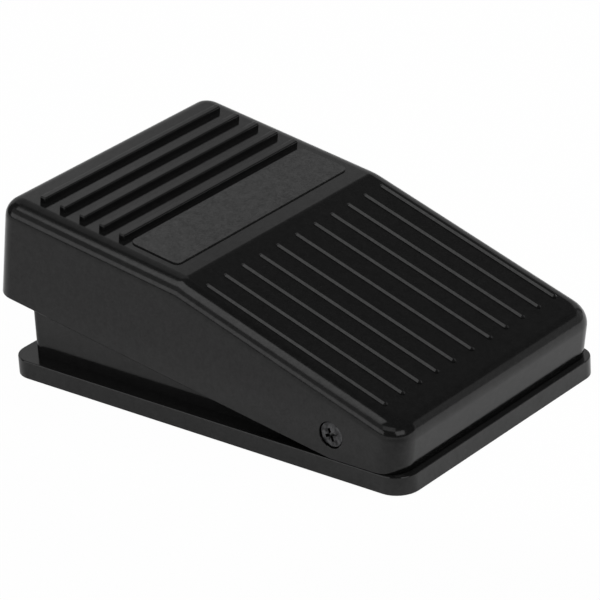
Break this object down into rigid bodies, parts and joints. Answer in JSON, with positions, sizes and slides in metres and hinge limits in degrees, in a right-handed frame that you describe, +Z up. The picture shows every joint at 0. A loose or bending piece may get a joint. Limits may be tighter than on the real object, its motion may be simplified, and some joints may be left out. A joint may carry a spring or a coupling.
{
  "type": "usb foot pedal switch",
  "caption": "Single foot pedal switch: a ribbed hollow pedal rocks on two side screws over a flat base, presses a small switch on a board and is lifted again by a coil spring.",
  "frame": {"origin": "middle of the footprint, on the plane that the rubber feet stand on", "axes": "+X to the right across the width, +Y to the raised rear where the cord enters, +Z up"},
  "size_m": [0.068, 0.1075, 0.0417],
  "materials": {
    "pedal_plastic": "moulded black ABS with a fine satin texture",
    "base_plastic": "moulded black ABS, semi-gloss",
    "label_plastic": "thin black plate with a fine grain",
    "soft_rubber": "matt black rubber",
    "zinc_steel": "zinc-plated steel",
    "spring_steel": "drawn spring wire",
    "black_steel": "black-oxide steel",
    "ballast_steel": "phosphated sheet steel",
    "brass": "turned brass",
    "board_laminate": "green solder mask on glass-fibre board",
    "chip_plastic": "black moulding compound",
    "ceramic": "fired ceramic",
    "nylon": "natural white nylon",
    "red_plastic": "red moulded acetal"
  },
  "bodies": {
    "base": {"ballast_plate": "ballast_steel", "ballast_screws": "zinc_steel", "base_tray": "base_plastic", "board_parts": "ceramic", "board_screws": "zinc_steel", "bump_stops": "soft_rubber", "circuit_board": "board_laminate", "clamp_screws": "zinc_steel", "controller_chip": "chip_plastic", "cord_clamp": "base_plastic", "cord_grommet": "soft_rubber", "cord_header": "nylon", "crystal_can": "zinc_steel", "header_pins": "brass", "pivot_inserts": "brass", "pivot_screws": "black_steel", "return_spring": "spring_steel", "rubber_feet": "soft_rubber", "spring_seat": "nylon", "switch_body": "chip_plastic", "switch_terminals": "brass"},
    "pedal": {"pedal_hood": "pedal_plastic", "label_plate": "label_plastic", "actuator_pad": "nylon", "spring_cap": "nylon", "pivot_bushes": "nylon"},
    "plunger": {"switch_plunger": "red_plastic"}
  },
  "joints": [
    {"name": "pedal_hinge", "type": "hinge", "parent": "base", "child": "pedal", "pos_m": [0, -0.03605, 0.0101], "axis": [-1, 0, 0], "range_deg": [0, 8.8], "stiffness_Nm_per_rad": 1.5, "springref_deg": -8.59, "deforming": ["return_spring"]},
    {"name": "plunger_slide", "type": "slide", "parent": "base", "child": "plunger", "axis": [0, 0, -1], "range_m": [0, 0.00163]}
  ],
  "couplings": [
    {"joint": "plunger_slide", "follows": "pedal_hinge", "m_per_rad": 0.0106}
  ]
}
